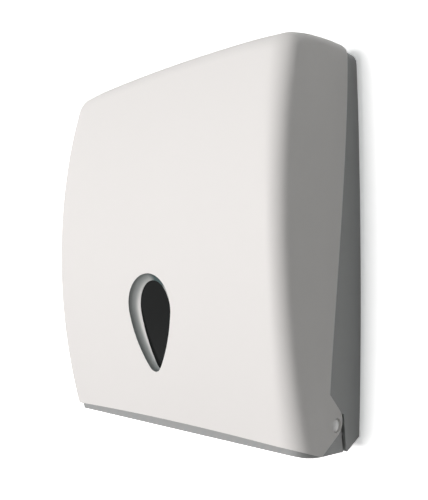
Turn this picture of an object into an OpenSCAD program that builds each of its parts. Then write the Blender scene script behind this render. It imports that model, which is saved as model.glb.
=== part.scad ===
// Wall dispenser for C-fold paper hand towels. A white moulded cover swings down on two pins at
// its foot, in front of a grey back housing and tray, and a cam lock in its top holds it shut.
// x runs to the viewer's right, y into the wall, z up. Depths are measured out from the wall.

/* [Overall] */
// Width across the cover at its widest
cover_w = 285; // [265:1:320]
// Height from the underside of the tray to the front of the cover's top
body_h = 312; // [290:1:360]
// Depth from the wall to the fullest point of the front
body_d = 105; // [100:1:125]
// Height of the middle of the wall screws above the underside of the tray
mount_z = 170; // [155:1:185]

/* [Cover] */
// Wall of the cover
cover_t = 2.6; // [2:0.1:3.2]
// Radius of the upright bow of the front
front_r = 590; // [480:1:800]
// Height of the fullest point of the front
front_full_z = 177; // [160:1:195]
// Rounding of the upright front edges
edge_r = 15; // [12:1:24]
// Rounding where the front turns into the top
crown_r = 16; // [7:0.5:18]
// Rounding of the upper corners in front view
corner_r = 13; // [10:0.5:18]
// Height of the widest point of the sides
side_full_z = 100; // [80:1:130]
// How far each side draws in from there to the top
side_bow = 5.5; // [3:0.1:7]
// Rise of the top from its ends to its middle
crown_rise = 5; // [3:0.1:11]
// Slope of the top, in degrees, rising towards the wall
top_slope = 7.4; // [0:0.2:9]
// Height of the lower edge at the front
hem_z = 10; // [8:0.5:12]
// Slope of the lower edge, in degrees, falling towards the wall
hem_tilt = 14.8; // [10:0.2:18]
// Depth of the rear edge at the top
rear_top_d = 17; // [15:0.5:24]
// Depth of the rear edge at the notch above the ears
rear_low_d = 43; // [40.5:0.5:48.5]
// Height of the notch above the ears
notch_z = 45; // [43:0.5:50]
// Lean of the rear edge's curve where it leaves the notch
rear_low_lean = 3.5; // [1:0.5:6]
// Length of that lean, upwards
rear_low_reach = 68; // [50:1:90]
// Lean of the rear edge's curve where it meets the top
rear_top_lean = 2; // [0:0.5:4]
// Length of that lean, downwards
rear_top_reach = 70; // [50:1:90]

/* [Hinge] */
// Depth of the hinge axis
hinge_d = 34; // [32.5:0.1:35.5]
// Height of the hinge axis
hinge_z = 21.8; // [20:0.1:23]
// Radius of the hinge pins in the ears
pin_r = 4; // [3:0.1:4.5]
// Radius of the spigot that holds each pin in the tray
spigot_r = 2.6; // [2:0.1:2.8]
// Length of that spigot
spigot_len = 9; // [7:0.5:12]
// Wall of the tray's boss around each spigot
spigot_wall = 3; // [2:0.1:4]
// Radius of the pins' heads, which cover the holes in the ears
pin_head_r = 5.5; // [5:0.1:6]
// Rise of those heads, which are low domes
pin_dome = 0.5; // [0.3:0.1:1]
// Radius of the ears
ear_r = 12.2; // [11.5:0.1:13]
// Depth of the middle of the ears' round
ear_d = 39.5; // [38.5:0.1:40.5]
// Height of the middle of the ears' round
ear_z = 24.3; // [23.3:0.1:25.3]
// Depth of the lowest point of the cover's sides
ear_tip_d = 51.5; // [49.5:0.5:54.5]

/* [Housing and tray] */
// Wall of the housing
housing_t = 2.6; // [2:0.1:3.2]
// Back plate of the housing
back_t = 2.8; // [2.2:0.1:3.6]
// Lap of the housing's walls behind the cover's rear edge
lap = 10; // [7:0.5:13]
// Height of the housing's foot at the wall
foot_rise = 8; // [5:0.5:9]
// Depth where the housing's foot ends at the tray
foot_d = 21.1; // [20:0.1:22]
// Length of the flat at the front of that foot
foot_flat = 1.7; // [1:0.1:3]
// Lean of the seam between the housing and the tray, in degrees
seam_deg = 12.5; // [8:0.5:14]
// Drop of the housing's top lip below the crown
top_lip_h = 15; // [13:0.5:16]
// Distance of the towel guides from the widest point of the cover
guide_in = 18; // [15:0.5:22]
// Depth of the towel guides
guide_deep = 22; // [15:0.5:26]
// Thickness of the towel guides
guide_t = 2; // [1.5:0.1:3]
// Distance of the towel guides from the crown and from the tray's underside
guide_end = 40; // [36:1:70]
// Wall of the tray
tray_t = 2.6; // [2.2:0.1:3]
// Depth where the lines of the tray's flat underside and of its rising front meet
tray_flat_d = 55.5; // [53:0.5:58]
// Radius of the bend between those two
keel_r = 120; // [80:5:150]
// Height of the tray's front lip
lip_top_z = 13; // [11:0.5:15]
// Height of the tray's cheeks
cheek_top_z = 34.5; // [32:0.5:36]
// Height of the tray's rear flange
flange_z = 14.6; // [13.5:0.1:16]
// Width of the towel slot
slot_w = 220; // [180:1:226]
// Depth of the towel slot, front to back
slot_d = 27; // [24:0.5:28]
// Strip of floor behind the towel slot
slot_margin = 2.5; // [2:0.1:3.5]
// Gap between the tray's flange and the back plate
flange_gap = 1.5; // [1:0.1:3]

/* [Tray screws and buffers] */
// Distance between neighbouring tray screws
tray_screw_dx = 90; // [60:1:115]
// Depth of the tray screws
tray_screw_d = 13; // [11:0.5:15]
// Radius of the tray screws
tray_screw_r = 1.6; // [1.2:0.1:2]
// Radius of the tray screws' heads
tray_head_r = 3.2; // [2.8:0.1:4]
// Height of the screws' heads
head_t = 2.2; // [1.6:0.1:2.8]
// Width of the cross in the screws' heads
cross_w = 0.9; // [0.6:0.1:1.2]
// Length of that cross, as a share of the head's radius
cross_share = 1.2; // [0.8:0.1:1.5]
// Radius of the bosses under the tray's flange
boss_r = 4.2; // [3.4:0.1:5]
// Distance of each buffer from the middle
buffer_x = 80; // [50:1:100]
// Radius of the buffers
buffer_r = 2.6; // [2:0.1:2.8]
// Thickness of the buffers
buffer_t = 1.5; // [1:0.1:3]
// Width of the cover's stop ribs
stop_w = 12; // [8:0.5:16]
// Thickness of the cover's stop ribs
stop_t = 2.4; // [1.6:0.1:3]

/* [Wall screws] */
// Distance between the wall screws across
screw_dx = 200; // [160:1:216]
// Distance between the wall screws up
screw_dz = 160; // [130:1:180]
// Radius of the wall screw holes
screw_r = 3; // [2.5:0.1:3.5]
// Radius of the pads around them
pad_r = 9; // [7:0.5:11]
// Height of the pads on the back plate
pad_h = 3; // [2:0.5:5]

/* [Window] */
// Height of the middle of the window's round top
drop_z = 106; // [100:1:120]
// Radius of the window's round top
drop_r = 27.5; // [22:0.5:30]
// Distance from the round top down to the middle of the tip
drop_len = 45.5; // [40:0.5:52]
// Radius of the window's tip
tip_r = 8.5; // [6:0.5:10]
// Radius of the window's long sides
drop_side_r = 105; // [90:1:150]
// Depth of the funnel that leads in to the window
dish_depth = 7; // [4:0.5:9]
// Narrowing of the funnel at its sides
dish_taper = 8; // [6:0.5:12]
// Wall of the funnel
funnel_t = 2; // [1.6:0.1:2.6]
// Thickness of the lens
lens_t = 2; // [1.6:0.1:2.4]
// Reach of the lens past the window's outline, behind the cover
lens_flange = 8; // [7:0.5:10]
// Radius of the pegs that hold the lens
peg_r = 1.6; // [1.2:0.1:1.9]
// Turn of the pegs around the drop's ends, in degrees
peg_turn = 15; // [5:1:25]
// Length of the pegs behind their push nuts
peg_tail = 1.5; // [0.5:0.1:3]
// Radius of the push nuts
push_nut_r = 4.5; // [3.5:0.1:5]
// Thickness of the push nuts
push_nut_t = 0.6; // [0.4:0.1:1]

/* [Lock] */
// Depth of the lock's axis
lock_d = 50; // [47:0.5:54]
// Radius of the lock's barrel
barrel_r = 8; // [7.5:0.1:9]
// Length of the barrel below the top
barrel_len = 18; // [16:0.5:22]
// Radius of the plug that the key turns
plug_r = 5.5; // [5:0.1:6]
// Width across the flats of the lock nut
nut_flats = 22; // [20:0.5:23]
// Thickness of the lock nut
nut_t = 4; // [3:0.5:5]
// Reach of the cam from the lock's axis
cam_reach = 30; // [27:0.5:32]
// Thickness of the cam
cam_t = 2; // [1.5:0.1:2.5]
// Width of the cam
cam_w = 10; // [9:0.5:11]
// Distance from the lock's axis to the near side of the catch
catch_x = 15; // [14.5:0.5:17]
// Width of the catch
catch_w = 12; // [8:0.5:13]
// Thickness of the catch's arm
catch_t = 4; // [3:0.1:5]
// Room between the catch and the turned cam
catch_gap = 2.4; // [1.5:0.1:3]
// Thickness of the lock's bezel
bezel_t = 1.5; // [1:0.1:2.5]
// Width of the bezel around the barrel
bezel_w = 3; // [2:0.1:4]
// Width and height of the rim at the plug's head
plug_head = 1; // [0.6:0.1:1.4]
// Side of the plug's square drive
drive_w = 6; // [5:0.1:7]
// Radius of the cam's eye
cam_eye_r = 7; // [6:0.1:8]
// Width of the keyway
key_w = 2.2; // [1.6:0.1:2.6]
// Height of the keyway
key_h = 5.2; // [4:0.1:6]
// Number of wafers in the plug
wafer_count = 4; // [2:1:4]
// Distance between the wafers
wafer_pitch = 2.8; // [2.2:0.1:2.9]
// Thickness of a wafer
wafer_t = 0.8; // [0.5:0.1:1.2]
// Width of a wafer
wafer_w = 6.2; // [5.5:0.1:7]
// Clearance around a wafer
wafer_gap = 0.1; // [0.05:0.01:0.15]
// Radius of the cam screw
cam_screw_r = 2; // [1.5:0.1:2.4]
// Length of the cam screw in the plug
cam_screw_len = 5; // [4:0.1:5.5]
// Radius of the cam washer
washer_r = 5; // [4.5:0.1:6]
// Thickness of the cam washer
washer_t = 0.8; // [0.5:0.1:1.2]

/* [Clearances] */
// Gap between the cover and the housing behind it
cover_gap = 0.5; // [0.4:0.05:0.8]
// Gap between the tray and the front of the cover
tray_gap = 2.6; // [2.2:0.1:3.2]
// Gap line between the tray and the housing
seam_gap = 2; // [1.5:0.1:2.4]
// Running clearance of the hinge pins and the plug, on the radius
run_gap = 0.05; // [0.02:0.01:0.08]
// Clearance of the lens, the nuts and the screws, on the radius
fit_gap = 0.15; // [0.1:0.05:0.25]
// Gap between a rubber buffer and the rib that rests on it
rest_gap = 0.3; // [0.2:0.05:0.4]

/* [Hidden] */
white = [0.93, 0.92, 0.91];
grey = [0.62, 0.63, 0.63];
smoke = [0.12, 0.12, 0.13];
steel = [0.75, 0.75, 0.76];
black = [0.1, 0.1, 0.1];

// Lengths that run past what they cut
past = 1;
far = 20;
round_fn = 64;
bow_fn = 720;
arc_steps = 8;
sweep_deg = 60;

half_w = cover_w / 2;
half_h = body_h / 2;
front_cy = front_r - body_d;
front_c = [front_cy, front_full_z];
house_in = cover_t + cover_gap;
// The upright edges' rounding starts this far outside the sides, so that the two never graze
edge_spare = 0.3;

function front_y(z, inset = 0) = front_cy - sqrt(pow(front_r - inset, 2) - pow(z - front_full_z, 2));
function arc(c, r, a0, a1, n = arc_steps) =
    [for (i = [0 : n]) c + r * [cos(a0 + (a1 - a0) * i / n), sin(a0 + (a1 - a0) * i / n)]];
// Height of the top along its middle, and a place's height measured square to the sloped top
function top_line(y) = body_h + (y + body_d) * tan(top_slope);
function level(y, z) = body_h + (z - body_h) * cos(top_slope) - (y + body_d) * sin(top_slope);
function angle_of(v) = atan2(v.y, v.x);
function tangent_angle(c, r, p, side) = angle_of(p - c) + side * acos(r / norm(p - c));
function cubic(p0, p1, p2, p3, n) =
    [for (i = [0 : n]) let (t = i / n, s = 1 - t)
        s * s * s * p0 + 3 * s * s * t * p1 + 3 * s * t * t * p2 + t * t * t * p3];
// Drops each point that repeats the one before it
function tidy(points) = [for (i = [0 : len(points) - 1])
    if (norm(points[i] - points[(i + len(points) - 1) % len(points)]) > 0.001) points[i]];
function flip(points) = [for (i = [len(points) - 1 : -1 : 0]) [-points[i].x, points[i].y]];

// Front outline: bowed sides, an arched top and rounded upper corners, as three tangent arcs
side_rise = body_h - side_full_z;
side_r = (side_rise * side_rise + side_bow * side_bow) / (2 * side_bow);
top_r = (half_w * half_w + crown_rise * crown_rise) / (2 * crown_rise);
side_c = [half_w - side_r, side_full_z];
top_c = [0, body_h - top_r];
centre_gap = norm(side_c - top_c);
centre_dir = (side_c - top_c) / centre_gap;
near_r = top_r - corner_r;
corner_along = (near_r * near_r - pow(side_r - corner_r, 2) + centre_gap * centre_gap) / (2 * centre_gap);
corner_off = sqrt(near_r * near_r - corner_along * corner_along);
corner_c = top_c + corner_along * centre_dir + corner_off * [centre_dir.y, -centre_dir.x];
side_turn = angle_of(corner_c - side_c);
top_turn = angle_of(corner_c - top_c);

function side_x(z, inset = 0) = side_c.x + sqrt(pow(side_r - inset, 2) - pow(z - side_c.y, 2));
function top_z(x, inset = 0) = top_c.y + sqrt(pow(top_r - inset, 2) - x * x);
function right_outline(inset, foot) = concat(
    arc(side_c, side_r - inset, asin((foot - side_c.y) / (side_r - inset)), side_turn),
    arc(corner_c, corner_r - inset, side_turn, top_turn),
    arc(top_c, top_r - inset, top_turn, 90));
function outline(inset, foot) = concat(right_outline(inset, foot), flip(right_outline(inset, foot)));

// Side outline of the cover: the rear edge sweeps forward to a notch, then round the hinge ears
hinge = [-hinge_d, hinge_z];
ear_c = [-ear_d, ear_z];
function hem_at(y) = hem_z - (y - front_y(hem_z)) * tan(hem_tilt);
ear_tip = [-ear_tip_d, hem_at(-ear_tip_d)];
notch = [-rear_low_d, notch_z];
rear_top = [-rear_top_d, top_line(-rear_top_d) - corner_r];
rear_edge = cubic(notch, notch + [rear_low_lean, rear_low_reach],
                  rear_top - [rear_top_lean, rear_top_reach], rear_top, 12);
ear_round = arc(ear_c, ear_r, tangent_angle(ear_c, ear_r, ear_tip, 1),
                tangent_angle(ear_c, ear_r, notch, -1));
// Crown: an arc that touches the front's bow and the top, drawn on forward past the front
crown_spare = 0.05;
top_dir = [cos(top_slope), sin(top_slope)];
top_up = [-top_dir.y, top_dir.x];
crown_low = [-body_d, body_h] - (crown_r - crown_spare) * top_up - front_c;
crown_back = crown_low * top_dir;
crown_ahead = sqrt(pow(crown_back, 2) - crown_low * crown_low + pow(front_r - crown_r, 2));
crown_c = front_c + crown_low - (crown_back + crown_ahead) * top_dir;
crown_turn = angle_of(crown_c - front_c);
function crown(inset) =
    let (bend = arc(crown_c, crown_r - inset, 90 + top_slope, crown_turn),
         last = bend[arc_steps],
         step = last - bend[arc_steps - 1])
    concat(bend, [last + step * far / norm(step), [-body_d - far, half_h]]);
cover_side = concat([[-body_d - far, hem_at(-body_d - far)], ear_tip], ear_round, rear_edge,
                    [[-rear_top_d, top_line(-rear_top_d) + past]], crown(0));
hollow_side = concat([[-body_d - far, -2 * far], [far, -2 * far], [far, top_line(far)]], crown(cover_t));

module placed() translate([0, 0, -mount_z]) children();
module across(points, width) translate([-width / 2, 0, 0]) rotate([90, 0, 90])
    linear_extrude(width) polygon(points);
module inward(points, y_rear, y_front) translate([0, y_rear, 0]) rotate([90, 0, 0])
    linear_extrude(y_rear - y_front) polygon(points);
module along_x(x0, x1, r, at, fn = round_fn) translate([x0, at.x, at.y]) rotate([0, 90, 0])
    cylinder(h = x1 - x0, r = r, $fn = fn);
// Turns what is built level, as high as the front of the top, onto the sloped top
module sloped() translate([0, -body_d, body_h]) rotate([top_slope, 0, 0]) translate([0, body_d, -body_h])
    children();
module block(low, high) translate(low) cube(high - low);

// The bowed front with its rounded upright edges, turned about a level axis behind the wall
module bowed_front(inset) {
    r = front_r - inset;
    half = half_w + edge_spare - inset;
    bend = edge_r - inset;
    depth = body_d + far;
    right = arc([r - bend, half - bend], bend, 0, 90);
    left = arc([r - bend, bend - half], bend, -90, 0);
    translate([0, front_cy, front_full_z]) rotate([0, 90, 0]) rotate([0, 0, 270 - sweep_deg / 2])
        rotate_extrude(angle = sweep_deg, $fn = bow_fn)
            polygon(concat([[r - depth, -half]], left, right, [[r - depth, half]]));
}

// Window: a drop drawn from a round top, a small round tip and two long bowed sides
drop_low = drop_z - drop_len - tip_r;
window_z = (drop_z + drop_r + drop_low) / 2;
window_tilt = asin((front_full_z - window_z) / front_r);
drop_c = [0, drop_z - window_z];
tip_c = drop_c - [0, drop_len];
long_r = drop_side_r - tip_r;
bow_rise = (long_r * long_r - pow(drop_side_r - drop_r, 2) + drop_len * drop_len) / (2 * drop_len);
bow_c = tip_c + [-sqrt(long_r * long_r - bow_rise * bow_rise), bow_rise];
tip_turn = angle_of(tip_c - bow_c);
drop_turn = angle_of(drop_c - bow_c);
function right_drop(inset) = concat(
    arc(tip_c, tip_r - inset, -90, tip_turn),
    arc(bow_c, drop_side_r - inset, tip_turn, drop_turn),
    arc(drop_c, drop_r - inset, drop_turn, 90));
function drop(inset) = concat(right_drop(inset), flip(right_drop(inset)));
dish_narrow = (drop_r - dish_taper) / (drop_r - dish_taper / 2);
function dish(grow) = [for (p = drop(dish_taper / 2 - grow)) [p.x * dish_narrow, p.y]];
pegs = [drop_c + (drop_r + lens_flange / 2) * [cos(peg_turn), sin(peg_turn)],
        tip_c + (tip_r + lens_flange / 2) * [cos(peg_turn), -sin(peg_turn)]];
all_pegs = concat(pegs, [for (p = pegs) [-p.x, p.y]]);
function front_sag(z) = front_r - sqrt(front_r * front_r - z * z);
lens_front = dish_depth + fit_gap;
lens_rear = lens_front + lens_t;
nut_seat = lens_rear + rest_gap;
nut_rear = nut_seat + push_nut_t;

module at_window() translate([0, front_y(window_z), window_z]) rotate([window_tilt, 0, 0]) children();
module drop_plate(points, y_front, y_rear) inward(tidy(points), y_rear, y_front);
module peg(at, y_front, y_rear, r) translate([at.x, y_rear, at.y]) rotate([90, 0, 0])
    cylinder(h = y_rear - y_front, r = r, $fn = round_fn);
// The funnel: one outline at the front, drawn back to a narrower one at its floor
module dish_form(rim, floor_pts, depth) {
    skin = 0.01;
    drop_plate(drop(rim), -far / 2, 0);
    hull() {
        drop_plate(drop(rim), -skin, 0);
        drop_plate(floor_pts, depth - skin, depth);
    }
}

// Lock, tray screws and stops: heights and depths shared by the pieces that meet there
barrel_low = body_h - barrel_len;
cam_top = barrel_low - rest_gap;
cam_low = cam_top - cam_t;
lock_at = [0, -lock_d];
wafer_zs = [for (i = [1 : wafer_count]) body_h - plug_head - wafer_pitch * i];
wafer_len = 2 * sqrt(plug_r * plug_r - wafer_w * wafer_w / 4) - 2 * wafer_gap;
wafer_half = wafer_t / 2 + wafer_gap;
top_lip_d = body_d - (body_d - rear_top_d - lap) / cos(top_slope);
top_lip_z = body_h - top_lip_h;
buffer_z = (top_lip_z + top_z(buffer_x, house_in + housing_t)) / 2;
stop_y = -top_lip_d - buffer_t - rest_gap;
seam_lean = tan(seam_deg);
foot_flat_d = foot_d - foot_flat;
tray_rear = foot_d + seam_gap;
flange_rear_d = back_t + flange_gap;
tray_screws_at = [for (i = [-1 : 1]) [i * tray_screw_dx, -tray_screw_d]];
spigot_boss_r = spigot_r + spigot_wall;
slot_mid_d = tray_rear + tray_t + slot_margin + slot_d / 2;
slot_half = (slot_w - slot_d) / 2;
guide_x = half_w - guide_in;
function foot_at(depth) = foot_rise * (1 - depth / foot_flat_d);
hinge_level = level(-hinge_d, hinge_z);
cheek_x = side_x(hinge_level, house_in);
ear_x = side_x(hinge_level);

module up(at, z0, z1, r, fn = round_fn) translate([at.x, at.y, z0]) cylinder(h = z1 - z0, r = r, $fn = fn);
module both_sides() {
    children();
    mirror([1, 0, 0]) children();
}
module full_outline(inset) sloped()
    inward(tidy(outline(inset, -2 * far)), far, -body_d - far - body_h * sin(top_slope));

module cover_form(inset, side_pts) intersection() {
    bowed_front(inset);
    full_outline(inset);
    across(tidy(side_pts), cover_w + far);
}

module front_cover() color(white) placed() difference() {
    union() {
        difference() {
            cover_form(0, cover_side);
            cover_form(cover_t, hollow_side);
        }
        intersection() {
            full_outline(cover_t / 2);
            sloped() both_sides() block([buffer_x - stop_w / 2, stop_y - stop_t, top_lip_z],
                                        [buffer_x + stop_w / 2, stop_y, body_h]);
        }
        at_window() for (p = all_pegs)
            peg(p, front_sag(p.y) + cover_t / 2, nut_rear + peg_tail, peg_r);
        intersection() {
            bowed_front(cover_t / 2);
            at_window() dish_form(-funnel_t, dish(funnel_t), dish_depth);
        }
    }
    at_window() {
        dish_form(0, dish(0), dish_depth);
        drop_plate(dish(0), 0, dish_depth + past);
    }
    sloped() up(lock_at, body_h - far / 2, body_h + far, barrel_r + fit_gap);
    along_x(-half_w - past, half_w + past, pin_r + run_gap, hinge);
}

module window_lens() color(smoke) placed() at_window() difference() {
    drop_plate(drop(-lens_flange), lens_front, lens_rear);
    for (p = all_pegs) peg(p, lens_front - past, lens_rear + past, peg_r + fit_gap);
}

module lens_push_nuts() color(steel) placed() at_window() for (p = all_pegs) difference() {
    peg(p, nut_seat, nut_rear, push_nut_r);
    peg(p, nut_seat - past, nut_rear + past, peg_r + run_gap);
}

// Back housing: back plate, bowed side walls, arched top with a turned-down lip, and sloped foot
rear_step = cheek_top_z + seam_gap;
housing_side = concat(
    [[0, foot_rise], [-foot_flat_d, 0], [-foot_d, 0], [-foot_d - rear_step * seam_lean, rear_step],
     [-rear_low_d - lap, rear_step]],
    [for (p = rear_edge) p - [lap, 0]],
    [[-rear_top_d - lap, top_line(0) + past], [0, top_line(0) + past]]);
housing_hollow = [[-back_t, foot_at(back_t) + housing_t], [-foot_flat_d, housing_t], [-body_d, housing_t],
                  [-body_d, top_line(0) + far], [-back_t, top_line(0) + far]];

module wall_holes(r, y_rear, y_front) for (sx = [-1, 1], sz = [-1, 1])
    translate([sx * screw_dx / 2, y_rear, mount_z + sz * screw_dz / 2]) rotate([90, 0, 0])
        cylinder(h = y_rear - y_front, r = r, $fn = round_fn);

module back_housing() color(grey) placed() difference() {
    union() {
        difference() {
            intersection() {
                full_outline(house_in);
                across(tidy(housing_side), cover_w);
            }
            intersection() {
                full_outline(house_in + housing_t);
                across(housing_hollow, cover_w);
            }
        }
        intersection() {
            full_outline(house_in);
            sloped() block([-half_w, -top_lip_d, top_lip_z], [half_w, -top_lip_d + housing_t, body_h]);
        }
        wall_holes(pad_r, -back_t / 2, -back_t - pad_h);
        for (at = tray_screws_at)
            up(at, foot_at(tray_screw_d) + housing_t / 2, flange_z - tray_t, boss_r);
        both_sides() block([guide_x, -back_t - guide_deep, guide_end],
                           [guide_x + guide_t, -back_t / 2, body_h - guide_end]);
        sloped() lock_catch();
    }
    wall_holes(screw_r, past, -back_t - pad_h - past);
    for (at = tray_screws_at)
        up(at, foot_at(tray_screw_d) + housing_t, flange_z, tray_screw_r + run_gap);
}

module lock_catch() {
    front = -lock_d - cam_w / 2 - catch_gap;
    arm_top = top_lip_z + catch_t;
    catch_end = catch_x + catch_w;
    block([catch_x, front - housing_t, top_lip_z], [catch_end, -top_lip_d + housing_t / 2, arm_top]);
    block([catch_x, front - housing_t, cam_low - cam_t], [catch_end, front, arm_top]);
}

// Tray: floor with the towel slot, front lip, cheeks for the pins and a flange on the housing's foot
tray_front_z = (body_d - tray_flat_d) * tan(hem_tilt);
keel_c = [keel_r * tan(hem_tilt / 2) - tray_flat_d, keel_r];
function keel(inset) = arc(keel_c, keel_r - inset, -90, -90 - hem_tilt);
tray_side = concat(
    [[-tray_rear, 0]], keel(0),
    [[-body_d, tray_front_z], [-body_d, lip_top_z], [-ear_tip_d - spigot_boss_r, lip_top_z],
     [-ear_d - spigot_boss_r, cheek_top_z], [-tray_rear - cheek_top_z * seam_lean, cheek_top_z]]);
tray_hollow = concat(
    [[far, tray_t]], keel(tray_t),
    [[-body_d, tray_front_z + tray_t / cos(hem_tilt)], [-body_d, cheek_top_z + far], [far, cheek_top_z + far]]);
riser = [[-tray_rear, 0], [-tray_rear - tray_t, 0], [-tray_rear - tray_t - flange_z * seam_lean, flange_z],
         [-tray_rear - flange_z * seam_lean, flange_z]];
flange_low = flange_z - tray_t;
flange = [[-tray_rear - tray_t - flange_low * seam_lean, flange_low], [-flange_rear_d, flange_low],
          [-flange_rear_d, flange_z], [-tray_rear - tray_t - flange_z * seam_lean, flange_z]];
riser_w = 2 * (side_x(level(-tray_rear, 0), house_in) - tray_t / 2);
flange_w = 2 * (side_x(level(0, 0), house_in + housing_t) - cover_gap);

module bottom_tray() color(grey) placed() difference() {
    union() {
        difference() {
            intersection() {
                bowed_front(cover_t + tray_gap);
                full_outline(house_in);
                across(tray_side, cover_w);
            }
            intersection() {
                bowed_front(cover_t + tray_gap + tray_t);
                full_outline(house_in + tray_t);
                across(tray_hollow, cover_w);
            }
        }
        across(riser, riser_w);
        across(flange, flange_w);
        both_sides() along_x(cheek_x - spigot_len, cheek_x - tray_t / 2, spigot_boss_r, hinge);
    }
    translate([0, -slot_mid_d, 0]) {
        block([-slot_half, -slot_d / 2, -past], [slot_half, slot_d / 2, tray_t + slot_margin]);
        for (s = [-1, 1]) up([s * slot_half, 0], -past, tray_t + slot_margin, slot_d / 2);
    }
    for (at = tray_screws_at) up(at, flange_low - past, flange_z + past, tray_screw_r + fit_gap);
    both_sides() along_x(cheek_x - spigot_len - past, cheek_x + past, spigot_r + run_gap, hinge);
}

module cross(at, z, r) for (turn = [0, 90]) translate([at.x, at.y, z]) rotate([0, 0, turn])
    cube([cross_share * r, cross_w, head_t], center = true);

module tray_screws() color(steel) placed() for (at = tray_screws_at) difference() {
    union() {
        up(at, foot_at(tray_screw_d) + housing_t + rest_gap, flange_z + past, tray_screw_r);
        up(at, flange_z, flange_z + head_t, tray_head_r);
    }
    cross(at, flange_z + head_t, tray_head_r);
}

// A stepped pin with a domed head: the spigot sits in the tray's cheek, the thick part in the ear
module hinge_pin() {
    head_seat = ear_x - cheek_x + rest_gap;
    dome_r = (pin_head_r * pin_head_r + pin_dome * pin_dome) / (2 * pin_dome);
    dome = arc([0, head_seat + pin_dome - dome_r], dome_r, asin(1 - pin_dome / dome_r), 90);
    translate([cheek_x, hinge.x, hinge.y]) rotate([0, 90, 0]) rotate_extrude($fn = round_fn)
        polygon(concat([[0, rest_gap - spigot_len], [spigot_r, rest_gap - spigot_len], [spigot_r, fit_gap],
                        [pin_r, fit_gap], [pin_r, head_seat]], dome));
}
module hinge_pin_right() color(white) placed() hinge_pin();
module hinge_pin_left() color(white) placed() mirror([1, 0, 0]) hinge_pin();

module cover_buffers() color(black) placed() sloped() both_sides()
    translate([buffer_x, -top_lip_d, buffer_z]) rotate([90, 0, 0])
        cylinder(h = buffer_t, r = buffer_r, $fn = round_fn);

module lock_barrel() color(steel) placed() sloped() difference() {
    union() {
        up(lock_at, barrel_low, body_h + bezel_t / 2, barrel_r);
        up(lock_at, body_h, body_h + bezel_t, barrel_r + bezel_w);
    }
    up(lock_at, barrel_low - past, body_h + far, plug_r + run_gap);
    up(lock_at, body_h - plug_head, body_h + far, plug_r + plug_head + run_gap);
}

module lock_nut() color(steel) placed() sloped() difference() {
    seat = body_h - cover_t - crown_rise * pow(nut_flats / cover_w, 2) - rest_gap;
    translate([0, -lock_d, seat - nut_t]) cylinder(h = nut_t, r = nut_flats / sqrt(3), $fn = 6);
    up(lock_at, seat - nut_t - past, seat + past, barrel_r + run_gap);
}

module lock_box(w, l, z0, z1) block([-w / 2, -lock_d - l / 2, z0], [w / 2, -lock_d + l / 2, z1]);

module lock_plug() color(steel) placed() sloped() difference() {
    face = body_h + bezel_t - plug_head / 2;
    union() {
        up(lock_at, cam_top, face, plug_r);
        up(lock_at, body_h - plug_head + run_gap, face, plug_r + plug_head);
        lock_box(drive_w, drive_w, cam_low + run_gap, cam_top + past);
    }
    lock_box(key_w, key_h, wafer_zs[wafer_count - 1] - wafer_t, body_h + far);
    for (z = wafer_zs)
        lock_box(wafer_w + 2 * wafer_gap, 2 * plug_r + past, z - wafer_half, z + wafer_half);
    up(lock_at, cam_low - past, cam_low + cam_screw_len, cam_screw_r + run_gap);
}

module lock_wafers() color("goldenrod") placed() sloped() for (z = wafer_zs) difference() {
    lock_box(wafer_w, wafer_len, z - wafer_t / 2, z + wafer_t / 2);
    lock_box(key_w + 2 * fit_gap, key_h - 2 * wafer_t, z - past, z + past);
}

module lock_cam() color(steel) placed() sloped() difference() {
    union() {
        up(lock_at, cam_low, cam_top, cam_eye_r);
        up(lock_at + [0, cam_reach - cam_w / 2], cam_low, cam_top, cam_w / 2);
        block([-cam_w / 2, -lock_d, cam_low], [cam_w / 2, -lock_d + cam_reach - cam_w / 2, cam_top]);
    }
    lock_box(drive_w + 2 * fit_gap, drive_w + 2 * fit_gap, cam_low - past, cam_top + past);
}

module cam_washer() color(steel) placed() sloped() difference() {
    up(lock_at, cam_low - washer_t, cam_low, washer_r);
    up(lock_at, cam_low - washer_t - past, cam_low + past, cam_screw_r + fit_gap);
}

module cam_screw() color(steel) placed() sloped() difference() {
    head_top = cam_low - washer_t;
    union() {
        up(lock_at, head_top - past, cam_low + cam_screw_len - rest_gap, cam_screw_r);
        up(lock_at, head_top - head_t, head_top, 2 * cam_screw_r);
    }
    cross(lock_at, head_top - head_t, 2 * cam_screw_r);
}

back_housing();
bottom_tray();
tray_screws();
hinge_pin_left();
hinge_pin_right();
cover_buffers();
front_cover();
window_lens();
lens_push_nuts();
lock_barrel();
lock_nut();
lock_plug();
lock_wafers();
lock_cam();
cam_washer();
cam_screw();
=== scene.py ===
import math
import bmesh
import bpy
import numpy as np
from mathutils import Matrix, Vector


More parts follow.
